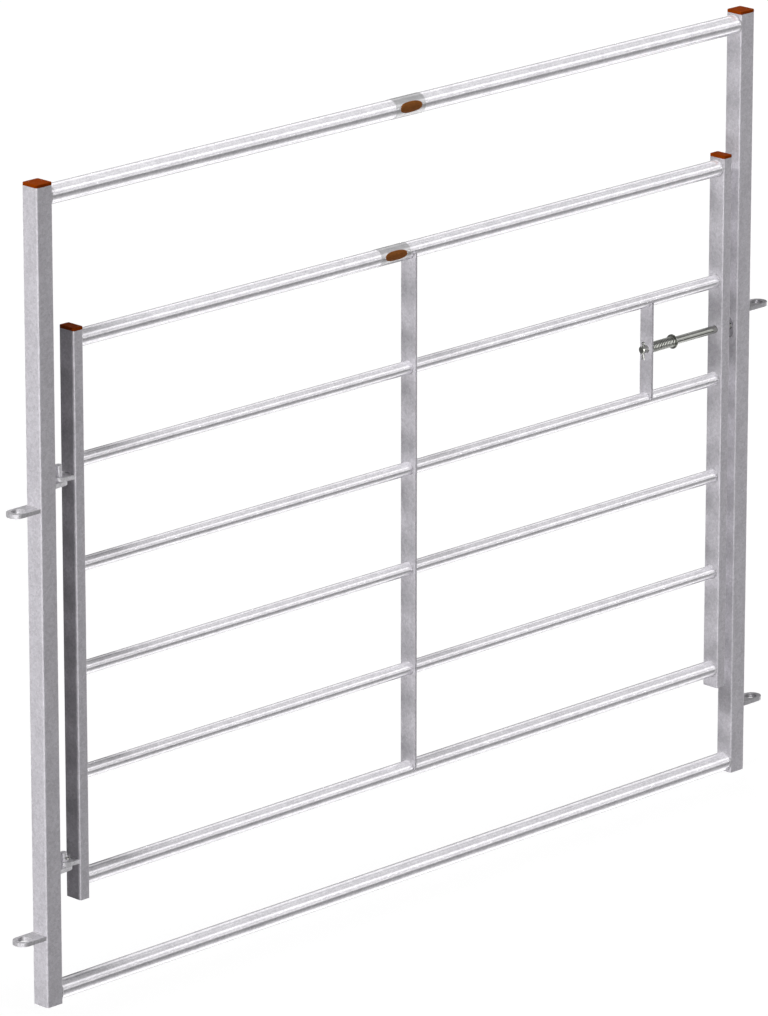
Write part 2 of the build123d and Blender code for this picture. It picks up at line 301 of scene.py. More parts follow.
key = lamp("key", toward=(-1.0, -0.06, 0.10), distance=30.0, size=5.2, strength=0.70)
slant = lamp("slant", toward=(-0.52, 0.08, 0.85), distance=20.0, size=2.8, strength=0.75)
near_rake = lamp("near_rake", toward=RAKE_SIDE, distance=20.0, size=2.8, strength=0.73)
far_rake = lamp("far_rake", toward=RAKE_SIDE, distance=20.0, size=2.8, strength=0.73)
outer_rake = lamp("outer_rake", toward=RAKE_SIDE, distance=20.0, size=2.8, strength=1.46)
lamp("fill", toward=FILL_SIDE, distance=24.0, size=7.0, strength=0.30)
inner_fill = lamp("inner_fill", toward=FILL_SIDE, distance=24.0, size=7.0, strength=0.34)
lamp("back", toward=(0.60, 0.79, 0.15), distance=24.0, size=7.0, strength=0.55)
overhead = lamp("overhead", toward=(0.0, 0.0, 1.0), distance=16.0, size=5.0, strength=0.32)
screen = lamp("screen", toward=(-1.0, -1.0, 0.0), distance=14.0, size=14.0, strength=0.95)
screen.visible_glossy = True
screen.visible_diffuse = False
print("lamps:", [light.name for light in bpy.data.lights])

# %% [markdown]
# Blender can say which pieces a lamp lights and which ones throw its shadow. A studio does the
# same with flags and barn doors, and here it is a set of names for each lamp. The rakes light
# only the rails, and only uprights throw their shadow, so that an upright shades the first foot
# of each rail beyond it. The thin centre bar keeps off only one of the gate's two. The key and
# the slanting lamp leave the rails to the rakes, and the slanting lamp also leaves the hinge
# stile in the shade. The screen is kept off the rails and the label bands, which would turn white
# from other sides. Half the fill passes through the hollow latch post. The overhead lamp is for
# the floor, the caps and the two top rails, so that the gate's shadow lies soft and pale under it.

# %% What each lamp lights and shades
FRAME_RAILS = ("frame_top_rail", "frame_bottom_rail")
LINK_KINDS = {
    "lights": ("receiver_collection", "INCLUDE"),
    "leaves": ("receiver_collection", "EXCLUDE"),
    "shadows": ("blocker_collection", "INCLUDE"),
    "passes": ("blocker_collection", "EXCLUDE"),
}


def of_nodes(*names):
    """The solids with these names or name endings."""
    return [solid for name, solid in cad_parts.items() if name.endswith(names)]


def link_lamp(light, **sets):
    """Gives a lamp its sets: what it lights or leaves, what throws its shadow or lets it pass."""
    for kind, objects in sets.items():
        side, state = LINK_KINDS[kind]
        linked = bpy.data.collections.new(f"{light.name}_{kind}")
        for number, item in enumerate(objects):
            linked.objects.link(item)
            linked.collection_objects[number].light_linking.link_state = state
        setattr(light.light_linking, side, linked)
    print(light.name, {kind: len(objects) for kind, objects in sets.items()})


rails = of_nodes("_rail")
outer_rails = of_nodes(*FRAME_RAILS)
inner_rails = [rail for rail in rails if rail not in outer_rails]
posts = of_nodes("_post", "gate_hinge_stile")
shaded = of_nodes("gate_hinge_stile", "gate_hinge_stile_cap")
link_lamp(key, leaves=[floor, *rails], shadows=posts)
link_lamp(screen, leaves=[floor, *rails, *of_nodes("_band")], shadows=posts)
link_lamp(slant, leaves=[floor, *rails, *shaded], shadows=posts + of_nodes("latch_stile"))
link_lamp(near_rake, lights=inner_rails, shadows=posts + of_nodes("gate_centre_bar"))
link_lamp(far_rake, lights=inner_rails, shadows=posts)
link_lamp(outer_rake, lights=outer_rails, shadows=of_nodes("hinge_post"))
link_lamp(inner_fill, passes=of_nodes("latch_post"))
link_lamp(overhead, lights=[floor, *of_nodes("_cap", "_top_rail")])

# %% [markdown]
# Hot-dipped zinc freezes into crystals. Each crystal has its own grey and gloss, drier and glossier
# patches lie over them like clouds, drawn out downwards where the zinc ran off, and a fine grain
# covers everything. All the zinc on the gate has these, only at other scales, so they are one node
# group. The crystals are cells of a Voronoi pattern whose edges a noise has shaken, because clean
# cells look drawn.

# %% Zinc bloom, shared by every galvanised finish
SHAKES_PER_METRE = 260.0
SHAKE_REACH = 6.0 * MM
GRAINS_PER_METRE = 280.0
DRAWN_DOWN = (1.0, 1.0, 0.45)
CRYSTAL_CLOUD_GRAIN_SHADE = (0.6, 0.9, 1.8)
CLOUD_GRAIN_HEIGHT = (0.8, 0.5)


def add_sockets(group, inputs, outputs):
    """Gives a node group its float sockets; returns what it is given and what it results in."""
    for name in inputs:
        group.interface.new_socket(name, in_out="INPUT", socket_type="NodeSocketFloat")
    for name in outputs:
        group.interface.new_socket(name, in_out="OUTPUT", socket_type="NodeSocketFloat")
    return add_node(group, "NodeGroupInput").outputs, add_node(group, "NodeGroupOutput").inputs


def about_half(tree, values, weights):
    """One half, plus each weight times how far its value is from one half."""
    total = 0.5 - sum(weights) / 2
    for value, weight in zip(values, weights):
        total = add_math(tree, "MULTIPLY_ADD", value, weight, total)
    return total


def zinc_bloom_group():
    """Shade and height of frozen zinc, from crystals, clouds and a fine grain."""
    group = bpy.data.node_groups.new("zinc_bloom", "ShaderNodeTree")
    scales = ("Crystals per Metre", "Clouds per Metre")
    given, result = add_sockets(group, scales, ("Shade", "Height"))
    where = add_node(group, "TexCoord").outputs["Object"]
    shake = add_noise(group, where, SHAKES_PER_METRE, detail=2.0)["Color"]
    shaken = add_vector_math(group, "MULTIPLY_ADD", shake, (SHAKE_REACH,) * 3, where)
    cells = {"Vector": shaken, "Scale": given["Crystals per Metre"]}
    cell = add_node(group, "TexVoronoi", cells).outputs["Color"]
    crystal = add_node(group, "SeparateColor", {0: cell}).outputs[0]
    drawn = add_vector_math(group, "MULTIPLY", where, DRAWN_DOWN)
    cloud = add_noise(group, drawn, given["Clouds per Metre"], detail=3.0, roughness=0.6)[0]
    grain = add_noise(group, where, GRAINS_PER_METRE, detail=3.0, roughness=0.7)[0]
    shade = about_half(group, (crystal, cloud, grain), CRYSTAL_CLOUD_GRAIN_SHADE)
    height = about_half(group, (cloud, grain), CLOUD_GRAIN_HEIGHT)
    group.links.new(shade, result["Shade"])
    group.links.new(height, result["Height"])
    return group


zinc_bloom = zinc_bloom_group()
print("group:", zinc_bloom.name, "with", len(zinc_bloom.nodes), "nodes")

# %% [markdown]
# Every finish on the gate is made in the same way. A shared group gives a shade and a height that
# change over the surface. The shade moves the colour between a dark and a light one and the
# roughness between two values, and the height becomes a bump, so that no reflection has a ruled
# edge. What stays the same all over is set on the shader's own sockets.

# %% Finish helpers


def tint(tree, shader, shade, dark, light):
    """Runs the base colour from dark to light as the shade goes from zero to one."""
    # a Mix node takes colours at sockets 6 and 7 and gives one out at 2
    feeds = {0: shade, 6: (*dark, 1.0), 7: (*light, 1.0)}
    mix = add_node(tree, "Mix", feeds, data_type="RGBA")
    tree.links.new(mix.outputs[2], shader.inputs["Base Color"])


def gloss(tree, shader, shade, rough):
    """Runs the roughness between two values with the shade."""
    tree.links.new(add_range(tree, shade, gives=rough), shader.inputs["Roughness"])


def relief(tree, shader, height, depth):
    """Turns a height of zero to one into a bump of that depth."""
    bump = add_node(tree, "Bump", {"Height": height, "Distance": depth, "Strength": 1.0})
    tree.links.new(bump.outputs["Normal"], shader.inputs["Normal"])


def new_finish(name, group, scales, dark, light, rough, depth, **constants):
    """A material whose colour, gloss and bump follow a group; returns it and its shader."""
    material = bpy.data.materials.new(name)
    material.use_nodes = True
    tree = material.node_tree
    shader = tree.nodes["Principled BSDF"]
    for socket, value in constants.items():
        shader.inputs[socket.replace("_", " ")].default_value = value
    pattern = add_node(tree, "Group", scales, node_tree=group).outputs
    tint(tree, shader, pattern["Shade"], dark, light)
    gloss(tree, shader, pattern["Shade"], rough)
    relief(tree, shader, pattern["Height"], depth)
    return material, shader


print("finish helpers:", [helper.__name__ for helper in (tint, gloss, relief, new_finish)])

# %% [markdown]
# All uprights but the hinge post are darkened on the faces that look along the gate: evenly, in
# blots, in soft bands above and below each rail, and round the bolt. The darkening round the bolt
# is a painted shadow of the latch bracket. The darkening that grows towards the far side of each
# face is painted shade, and on the hinge stile it stands for the hinge post's shade. A painted mask
# would need a map of every face, so all of it is worked out from the place alone, which all pieces
# share.

# %% Stains and painted shade
BAND_PITCH = 0.131
BAND_START = 0.340
BLOTS_PER_METRE = 26.0
BLOT_RANGE = (0.40, 0.64)
# painted shadow of the latch bracket on the latch stile and latch post, round the bolt
BOLT_SHADOW_MIDDLE = (1.113, 0.0, 1.17)
BOLT_SHADOW_REACH = (0.08, 1.0, 0.17)
BOLT_SHADOW_FADE = (1.0, 0.35)
EVEN_DARKENING = 0.24
BLOT_BAND_BOLT_SHADOW_SHARE = (0.25, 0.22, 0.6)
# painted shade: the mask grows towards the far side of each face
FAR_SIDE_SHADE_GAIN = 9.0


def stain_and_shade_mask(tree):
    """Mask of stains and painted shade: an even share, plus a share each of blots, of a cosine of
    the height and of a painted shadow that fades with the distance from the bolt's nose. It grows
    evenly towards the far side, which is painted shade too, and it shows only on faces that look
    along X."""
    texture = add_node(tree, "TexCoord").outputs
    where = texture["Object"]
    place = add_node(tree, "SeparateXYZ", {0: where}).outputs
    blot = add_noise(tree, where, BLOTS_PER_METRE, detail=4.0)[0]
    blots = add_range(tree, blot, given=BLOT_RANGE)
    turn = 2 * np.pi / BAND_PITCH
    phase = add_math(tree, "MULTIPLY_ADD", place["Z"], turn, -turn * BAND_START)
    bands = add_math(tree, "COSINE", phase)
    off = add_vector_math(tree, "SUBTRACT", where, BOLT_SHADOW_MIDDLE)
    off = add_vector_math(tree, "DIVIDE", off, BOLT_SHADOW_REACH)
    far = add_node(tree, "VectorMath", {0: off}, operation="LENGTH").outputs["Value"]
    # painted shadow round the bolt
    bolt_shadow = add_range(tree, far, given=BOLT_SHADOW_FADE)
    total = EVEN_DARKENING
    for part, weight in zip((blots, bands, bolt_shadow), BLOT_BAND_BOLT_SHADOW_SHARE):
        total = add_math(tree, "MULTIPLY_ADD", part, weight, total)
    # painted shade, growing towards the far side
    depth = add_math(tree, "MULTIPLY_ADD", place["Y"], FAR_SIDE_SHADE_GAIN, 1.0)
    looks = add_node(tree, "SeparateXYZ", {0: texture["Normal"]}).outputs["X"]
    along = add_math(tree, "MULTIPLY", looks, looks)
    shown = add_math(tree, "MULTIPLY", depth, along)
    return add_math(tree, "MULTIPLY", total, shown, use_clamp=True)


# the smear round the bolt is a painted shadow
print("stains: a band every", BAND_PITCH, "m, a smear round", BOLT_SHADOW_MIDDLE)

# %% [markdown]
# The gate has six zinc finishes. Drawn tube freezes bright and half mirrors the room. The plates of
# loops are grey, and those of hinge lugs are made nearly white, which paints in the light that the
# hinge post keeps off them; both have a dull sheen. Box section and flat bar are rougher, and their
# zinc comes out dull and grey, plain or with stains and painted shade. Weld metal is the dullest.
# Six separate node trees would drift apart, so one function makes them all from the same bloom. The
# bump is two hundredths of a millimetre on tube and up to ten times that on weld metal.

# %% Zinc finishes


def zinc(name, crystals, clouds, stain_and_shade=0.0, **look):
    """Zinc finish on the bloom, with crystals and clouds per metre; stains and painted shade darken
    it by a share.
    """
    scales = {"Crystals per Metre": crystals, "Clouds per Metre": clouds}
    material, shader = new_finish(name, zinc_bloom, scales, **look)
    if stain_and_shade:
        tree = material.node_tree
        grey = shader.inputs["Base Color"].links[0].from_socket
        left = add_range(tree, stain_and_shade_mask(tree), gives=(1.0, 1.0 - stain_and_shade))
        darker = add_node(tree, "VectorMath", {0: grey, "Scale": left}, operation="SCALE")
        tree.links.new(darker.outputs[0], shader.inputs["Base Color"])
    return material


tube_zinc = zinc(
    "tube_zinc",
    dark=(0.66, 0.645, 0.68),
    light=(0.98, 0.965, 1.0),
    rough=(0.11, 0.06),
    depth=0.02 * MM,
    crystals=300,
    clouds=30,
    Metallic=0.5,
)
loop_zinc = zinc(
    "loop_zinc",
    dark=(0.38, 0.37, 0.39),
    light=(0.59, 0.58, 0.605),
    rough=(0.40, 0.28),
    depth=0.10 * MM,
    crystals=250,
    clouds=40,
    Metallic=0.3,
)
# painted light: the hinge lugs and pins are made nearly white, for the light that the hinge post
# keeps off them
lug_zinc_painted_light = zinc(
    "lug_zinc_painted_light",
    dark=(0.66, 0.65, 0.67),
    light=(0.98, 0.97, 1.0),
    rough=(0.42, 0.30),
    depth=0.12 * MM,
    crystals=200,
    clouds=40,
    Metallic=0.15,
)
section_look = {
    "dark": (0.44, 0.425, 0.457),
    "light": (0.62, 0.603, 0.643),
    "rough": (0.46, 0.36),
    "depth": 0.15 * MM,
    "crystals": 170,
    "clouds": 26,
    "Metallic": 0.15,
    "Specular_IOR_Level": 0.4,
}
section_zinc = zinc("section_zinc", **section_look)
# section zinc darkened by stains and painted shade
stain_and_shade_zinc = zinc("stain_and_shade_zinc", stain_and_shade=0.45, **section_look)
weld_zinc = zinc(
    "weld_zinc",
    dark=(0.36, 0.352, 0.368),
    light=(0.50, 0.49, 0.51),
    rough=(0.55, 0.42),
    depth=0.2 * MM,
    crystals=300,
    clouds=60,
    Metallic=0.1,
    Specular_IOR_Level=0.25,
)
zinc_finishes = (tube_zinc, loop_zinc, lug_zinc_painted_light, section_zinc, stain_and_shade_zinc, weld_zinc)
print("zinc:", [finish.name for finish in zinc_finishes])

# %% [markdown]
# The bolt, its washer, the spring and the split pins are bought-in parts in a thin, greenish
# plating, darker than dipped zinc and with more contrast on the spring's drawn wire. The caps are
# moulded plastic, and the label bands are printed film. All three need the same thing, a fine
# even grain that breaks the gloss, so that is the second shared group. Each finish then adds its
# own colours and depth.

# %% Plating, plastic and film
GRAIN_BLOTCH_SHADE = (0.8, 1.0)


def fine_grain_group():
    """Grain with a soft blotch under it, for plating, moulded plastic and printed film."""
    group = bpy.data.node_groups.new("fine_grain", "ShaderNodeTree")
    scales = ("Grains per Metre", "Blotches per Metre")
    given, result = add_sockets(group, scales, ("Shade", "Height"))
    where = add_node(group, "TexCoord").outputs["Object"]
    grain = add_noise(group, where, given["Grains per Metre"], detail=4.0)[0]
    blotch = add_noise(group, where, given["Blotches per Metre"], detail=2.0)[0]
    group.links.new(about_half(group, (grain, blotch), GRAIN_BLOTCH_SHADE), result["Shade"])
    group.links.new(grain, result["Height"])
    return group


fine_grain = fine_grain_group()


def grained(name, grains, blotches, **look):
    """A finish on the fine grain, with grains and blotches per metre."""
    scales = {"Grains per Metre": grains, "Blotches per Metre": blotches}
    return new_finish(name, fine_grain, scales, **look)[0]


plating = grained(
    "greenish_plating",
    dark=(0.28, 0.285, 0.263),
    light=(0.44, 0.445, 0.42),
    rough=(0.11, 0.06),
    depth=0.01 * MM,
    grains=900,
    blotches=90,
    Metallic=0.95,
)
bright_wire = grained(
    "bright_wire",
    dark=(0.27, 0.275, 0.255),
    light=(0.45, 0.455, 0.43),
    rough=(0.12, 0.07),
    depth=0.01 * MM,
    grains=900,
    blotches=90,
    Metallic=0.95,
)
rust_plastic = grained(
    "rust_plastic",
    dark=(0.142, 0.0205, 0.0002),
    light=(0.222, 0.0330, 0.0005),
    rough=(0.6, 0.45),
    depth=0.08 * MM,
    grains=1400,
    blotches=60,
    Specular_IOR_Level=0.02,
)
band_film = grained(
    "band_film",
    dark=(0.46, 0.455, 0.465),
    light=(0.72, 0.715, 0.73),
    rough=(0.30, 0.20),
    depth=0.02 * MM,
    grains=600,
    blotches=70,
    Metallic=0.45,
)
patch_print = grained(
    "patch_print",
    dark=(0.13, 0.045, 0.010),
    light=(0.26, 0.088, 0.018),
    rough=(0.6, 0.45),
    depth=0.03 * MM,
    grains=700,
    blotches=80,
    Specular_IOR_Level=0.1,
)
other_finishes = (plating, bright_wire, rust_plastic, band_film, patch_print)
print("other finishes:", [finish.name for finish in other_finishes])

# %% [markdown]
# The solids whose shape is already right keep their own meshes and only change their finish. They
# could be dressed one by one, but the names already say which is which: rails are tube, caps are
# plastic, bands are film, loops and hinge parts are plate, and the bolt's parts and the split pins
# are plated. The hinge parts' plate carries painted light. The rest is section and flat bar, of
# which all but the hinge post get stains and painted shade.

# %% Dress the solids
PLATED = ("latch_bolt", "bolt_washer", "bolt_split_pin", "hinge_split_pin")
# these uprights get stains and painted shade: the hinge stile for the hinge post's shade, the latch
# stile and latch post for the latch bracket's shadow
STAIN_AND_SHADE = (
    "latch_post",
    "gate_hinge_stile",
    "gate_latch_stile",
    "gate_centre_bar",
    "latch_bracket",
)
ENDINGS = (
    ("_rail", tube_zinc),
    ("_cap", rust_plastic),
    ("_band", band_film),
    ("_loop", loop_zinc),
    ("_hinge_bracket", lug_zinc_painted_light),
    ("_hinge_eye", lug_zinc_painted_light),
    ("_hinge_pin", lug_zinc_painted_light),
)


def finish_of(name):
    """The finish of a solid, read from its name."""
    if name in PLATED:
        return plating
    if name in STAIN_AND_SHADE:
        return stain_and_shade_zinc
    for ending, finish in ENDINGS:
        if name.endswith(ending):
            return finish
    return section_zinc


for name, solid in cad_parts.items():
    solid.data.materials.clear()
    solid.data.materials.append(finish_of(name))
print("dressed:", len(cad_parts), "solids")

# %% [markdown]
# New pieces are grids of points. One direction of the grid goes round a section and the other
# goes along a path, so a piece is one array and its faces are index arithmetic. The section is
# always a closed loop. A path that is a ring closes on itself, and any other path is closed by
# a face at each end, so every piece is a watertight skin.

# %% From grids to a piece


def grid_faces(along, around, ring, first):
    """Faces of a grid with closed sections: quads between stations, and a face at each open end."""
    index = first + np.arange(along * around).reshape(along, around)
    after = np.roll(index, -1, axis=0) if ring else index[1:]
    here = index if ring else index[:-1]
    quads = np.stack([here, after, np.roll(after, -1, 1), np.roll(here, -1, 1)], axis=-1)
    ends = [] if ring else [index[0].tolist(), index[-1].tolist()]
    return quads.reshape(-1, 4).tolist() + ends


def piece_from_grids(name, grids, finish):
    """One object from grids, each paired with whether its path is a ring; normals face outwards."""
    points, faces, count = [], [], 0
    for grid, ring in grids:
        along, around, _ = grid.shape
        faces += grid_faces(along, around, ring, count)
        points.append(grid.reshape(-1, 3))
        count += along * around
    mesh = bpy.data.meshes.new(name)
    mesh.from_pydata(np.concatenate(points).tolist(), [], faces)
    work = bmesh.new()
    work.from_mesh(mesh)
    bmesh.ops.recalc_face_normals(work, faces=work.faces)
    work.to_mesh(mesh)
    work.free()
    mesh.polygons.foreach_set("use_smooth", np.ones(len(mesh.polygons), dtype=bool))
    mesh.materials.append(finish)
    piece = bpy.data.objects.new(name, mesh)
    bpy.context.scene.collection.objects.link(piece)
    print(name, "has", len(mesh.polygons), "faces")
    return piece


print("a ring of 3 by 4 points has", len(grid_faces(3, 4, True, 0)), "faces")

# %% [markdown]
# The spring is a round wire wound on the bolt: one dead coil lies flat at each end, and fourteen
# working coils climb between. A curve with a bevel could draw it, but a formula keeps the dead
# coils exact. The wire's middle turns round the bolt's axis while its place along the axis follows
# ramps, and the section is carried in the frame of the outward direction. When the bolt is drawn
# the washer comes back towards the bracket and the coils close up, the middle ones most. They are
# wound a little wider, and the wire stands a little off the bracket and the washer, so that the
# coils don't run into each other with the bolt right back.

# %% Latch spring
WIRE_RADIUS = 1.5 * MM
WORKING_COILS = 14
WIDER_MIDDLE = 0.10
SEAT_GAP = 0.6 * MM
DEAD_COIL_GAP = 0.8 * MM
DEAD_COIL_FLAT = 0.75
SPRING_STEPS = 641
WIRE_SIDES = 12


def spring_grid(x_from, x_to, axis_z, mean_radius):
    """Wire along X: the angle grows evenly with the turns, and the place is flat, climbs, rises,
    climbs and is flat. The rise loses a sine that makes it steepest halfway. A point of the skin
    is the wire's middle plus its radius round the outward and sideways directions."""
    seat = SEAT_GAP + WIRE_RADIUS
    climb = 2 * WIRE_RADIUS + DEAD_COIL_GAP
    rise = (x_to - x_from) - 2 * seat - 2 * climb
    last = WORKING_COILS + 2.0
    turns = np.linspace(0.0, last, SPRING_STEPS)
    knots = (0.0, DEAD_COIL_FLAT, 1.0, last - 1.0, last - DEAD_COIL_FLAT, last)
    top = 2 * climb + rise
    place = np.interp(turns, knots, x_from + seat + np.array((0, 0, climb, climb + rise, top, top)))
    share = np.clip((turns - 1.0) / WORKING_COILS, 0.0, 1.0)
    place -= rise * WIDER_MIDDLE * np.sin(2 * np.pi * share) / (2 * np.pi)
    angle = 2 * np.pi * turns
    outward = np.stack([np.zeros_like(angle), np.cos(angle), np.sin(angle)], axis=-1)
    middle = mean_radius * outward + np.stack([place, 0 * angle, axis_z + 0 * angle], axis=-1)
    ahead = np.gradient(middle, axis=0)
    ahead /= np.linalg.norm(ahead, axis=1, keepdims=True)
    sideways = np.cross(ahead, outward)
    turn = np.linspace(0.0, 2 * np.pi, WIRE_SIDES, endpoint=False)[None, :, None]
    section = np.cos(turn) * outward[:, None] + np.sin(turn) * sideways[:, None]
    return middle[:, None] + WIRE_RADIUS * section


spring_low, spring_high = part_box("latch_spring")
bracket_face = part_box("latch_bracket")[1].x
washer_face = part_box("bolt_washer")[0].x
bolt_low, bolt_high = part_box("latch_bolt")
bolt_axis_z = (bolt_low.z + bolt_high.z) / 2
coil_radius = (spring_high.z - spring_low.z) / 2 - WIRE_RADIUS
spring = piece_from_grids(
    "coiled_latch_spring",
    [(spring_grid(bracket_face, washer_face, bolt_axis_z, coil_radius), False)],
    bright_wire,
)
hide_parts("latch_spring")
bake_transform(spring)

# %% [markdown]
# Everything else is held by fillet welds: rails to posts and stiles, flats to rails, loops and
# hinge lugs to the box section. A bevel between the pieces would leave them smooth, and a bump
# would not fill the corner, so each bead is a surface of its own: a small section carried along
# the corner where two pieces meet. It runs from a foot on one piece to a toe on the other,
# bulges a little, and is marked by ripples where the pool froze step by step. The ripples are
# crescents, so their phase is ahead in the middle of the bead. One more point of the section
# lies inside the metal, which closes the bead without showing.

# %% Weld bead
RIPPLE_PITCH = 3.2 * MM
RIPPLE_POINTS = 5
FEWEST_RIPPLES = 4
RIPPLE_SHARE = 0.06
CRESCENT = 1.3
WOBBLE_SHARE = 0.05
WOBBLE_RATE = 0.9
WOBBLE_START = 1.0
BULGE = 0.20
UNDER_SKIN = 0.8 * MM
POINTS_ACROSS = 9
END_POWER = 6
END_THINNEST = 1e-4
TINY = 1e-9


def stations(length):
    """How many points a bead of that length needs, a whole number of ripples."""
    return max(FEWEST_RIPPLES, int(round(length / RIPPLE_PITCH))) * RIPPLE_POINTS


def end_taper(count):
    """Size along an open bead: the root of one less the sixth power of the place, which runs from
    minus one at its start to one at its end."""
    place = np.linspace(-1.0, 1.0, count)
    return np.sqrt(np.clip(1.0 - place**END_POWER, END_THINNEST, None))


def bead_grid(corner, toe, foot):
    """Skin of a bead: corner plus a straight run from foot to toe, plus a half-sine bulge square
    to that run, all scaled by a ripple and a slower wobble. The last point of each section is
    pushed back into both pieces."""
    along = np.arange(len(corner))[:, None, None] / RIPPLE_POINTS
    across = np.linspace(0.0, 1.0, POINTS_ACROSS)[None, :, None]
    arch = np.sin(np.pi * across)
    ripple = np.cos(2 * np.pi * along + CRESCENT * arch)
    wobble = np.sin(WOBBLE_RATE * along + WOBBLE_START)
    swell = 1.0 + RIPPLE_SHARE * ripple + WOBBLE_SHARE * wobble
    run = toe - foot
    size = np.linalg.norm(run, axis=1, keepdims=True)
    outward = toe + foot
    lean = np.sum(outward * run, axis=1, keepdims=True)
    outward = outward - run * lean / np.maximum(size, TINY) ** 2
    outward /= np.maximum(np.linalg.norm(outward, axis=1, keepdims=True), TINY)
    skin = foot[:, None] + run[:, None] * across + outward[:, None] * size[:, None] * BULGE * arch
    skin = corner[:, None] + skin * swell
    inside = corner - outward * UNDER_SKIN
    return np.concatenate([skin, inside[:, None]], axis=1)


print("bead:", POINTS_ACROSS, "points across,", RIPPLE_POINTS, "to a ripple")

# %% [markdown]
# A rail's end is welded all round. The corner is then a circle on the post's face. The bead's
# toe goes along the rail and its foot goes outwards over the face. A ring of one section would
# stand in the air at the sides, where the face turns away at its rounded edge. There the foot
# stops short of the edge and drops with it.

# %% Weld round a rail
RAIL_LEG = 2.2 * MM
GATE_RAIL_LEG = 0.9 * RAIL_LEG
EDGE_KEEP = 0.4 * MM
POST_EDGE = 5.0 * MM
STILE_EDGE = 4.0 * MM
WHOLE = (0.0, 2 * np.pi)
MID_RAILS = ("gate_second_rail", "gate_third_rail", "gate_fourth_rail", "gate_fifth_rail")
GATE_RAILS = ("gate_top_rail", *MID_RAILS, "gate_bottom_rail")


def rail_bead(axis_z, radius, face_x, way, leg, half_width, edge_radius, turn=WHOLE):
    """Bead round a rail along X, on the side of a face that way points to. Turn is the part of
    the circle that it covers: a whole one is a ring, and a part has tapered ends."""
    ring = turn == WHOLE
    count = stations(radius * (turn[1] - turn[0]))
    angle = np.linspace(*turn, count, endpoint=not ring)
    radial = np.stack([0 * angle, np.cos(angle), np.sin(angle)], axis=-1)
    sideways = np.abs(np.cos(angle))
    reach = np.minimum(radius + leg, (half_width - EDGE_KEEP) / np.maximum(sideways, TINY))
    spread = np.maximum(reach - radius, EDGE_KEEP)
    over = np.clip((radius + spread) * sideways - (half_width - edge_radius), 0.0, edge_radius)
    drop = edge_radius - np.sqrt(edge_radius**2 - over**2)
    taper = np.ones(count) if ring else end_taper(count)
    forward = np.array((way, 0.0, 0.0))
    corner = np.array((face_x, 0.0, axis_z)) + radius * radial
    toe = taper[:, None] * leg * forward
    foot = taper[:, None] * (spread[:, None] * radial - drop[:, None] * forward)
    return bead_grid(corner, toe, foot), ring


def round_rail(node):
    """A rail's axis height, radius and two ends, from its box."""
    low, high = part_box(node)
    return (low.z + high.z) / 2, (high.z - low.z) / 2, low.x, high.x


def rail_end_beads(nodes, upright, edge_radius, leg):
    """Beads at both ends of each rail, on uprights as deep as the one named."""
    half_width = (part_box(upright)[1].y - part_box(upright)[0].y) / 2
    grids = []
    for node in nodes:
        axis_z, radius, start, end = round_rail(node)
        for face_x, way in ((start, 1.0), (end, -1.0)):
            grids.append(rail_bead(axis_z, radius, face_x, way, leg, half_width, edge_radius))
    return grids


frame_rail_welds = piece_from_grids(
    "frame_rail_welds",
    rail_end_beads(FRAME_RAILS, "hinge_post", POST_EDGE, RAIL_LEG),
    weld_zinc,
)
gate_rail_welds = piece_from_grids(
    "gate_rail_welds",
    rail_end_beads(GATE_RAILS, "gate_hinge_stile", STILE_EDGE, GATE_RAIL_LEG),
    weld_zinc,
)
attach(frame_rail_welds, "frame")
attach(gate_rail_welds, "gate")

# %% [markdown]
# The centre bar is a flat with holes that the middle rails pass through, and its two ends are
# cut to sit under the top rail and on the bottom rail. The latch bracket sits between two rails
# in the same way. These get lighter beads on both faces: rings at the holes, half rings at the
# ends. The function for rails draws them too, because a half ring is only a part of its circle.

# %% Welds on the flats
FLAT_LEG = 1.2 * MM
FLAT_EDGE = 0.4 * MM
HALF_BELOW = (np.pi, 2 * np.pi)
HALF_ABOVE = (0.0, np.pi)


def flat_beads(flat, joins):
    """Beads on both faces of an upright flat, where it meets rails; joins pairs rail and turn."""
    low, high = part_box(flat)
    half_width = (high.y - low.y) / 2
    grids = []
    for rail, turn in joins:
        axis_z, radius, _, _ = round_rail(rail)
        for face_x, way in ((low.x, -1.0), (high.x, 1.0)):
            bead = rail_bead(axis_z, radius, face_x, way, FLAT_LEG, half_width, FLAT_EDGE, turn)
            grids.append(bead)
    return grids


bar_joins = [("gate_top_rail", HALF_BELOW), ("gate_bottom_rail", HALF_ABOVE)]
bar_joins += [(rail, WHOLE) for rail in MID_RAILS]
bracket_joins = [("gate_second_rail", HALF_BELOW), ("gate_third_rail", HALF_ABOVE)]
for name, flat, joins in (
    ("centre_bar_welds", "gate_centre_bar", bar_joins),
    ("latch_bracket_welds", "latch_bracket", bracket_joins),
):
    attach(piece_from_grids(name, flat_beads(flat, joins), weld_zinc), "gate")

# %% [markdown]
# Loops and hinge lugs are plates that stand square on a face. Each has a straight bead along its
# upper edge and one along its lower edge. The section stays the same, and only its path is now a
# line. The ends taper off where the welder broke the arc.

# %% Welds on the plates
PLATE_LEG = 2.6 * MM
LOOP_WELD_HALF = 20.5 * MM
LUG_WELD_HALF = 19.5 * MM


def plate_beads(plate, way, half_length):
    """Straight beads above and below a plate, at the end of its box where it meets the face; way
    points off the face."""
    low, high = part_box(plate)
    root_x = low.x if way > 0 else high.x
    count = stations(2 * half_length)
    side = np.linspace(-half_length, half_length, count)
    taper = end_taper(count)[:, None]
    grids = []
    for edge_z, up in ((high.z, 1.0), (low.z, -1.0)):
        corner = np.stack([root_x + 0 * side, side, edge_z + 0 * side], axis=-1)
        toe = taper * PLATE_LEG * np.array((way, 0.0, 0.0))
        foot = taper * PLATE_LEG * np.array((0.0, 0.0, up))
        grids.append((bead_grid(corner, toe, foot), False))
    return grids


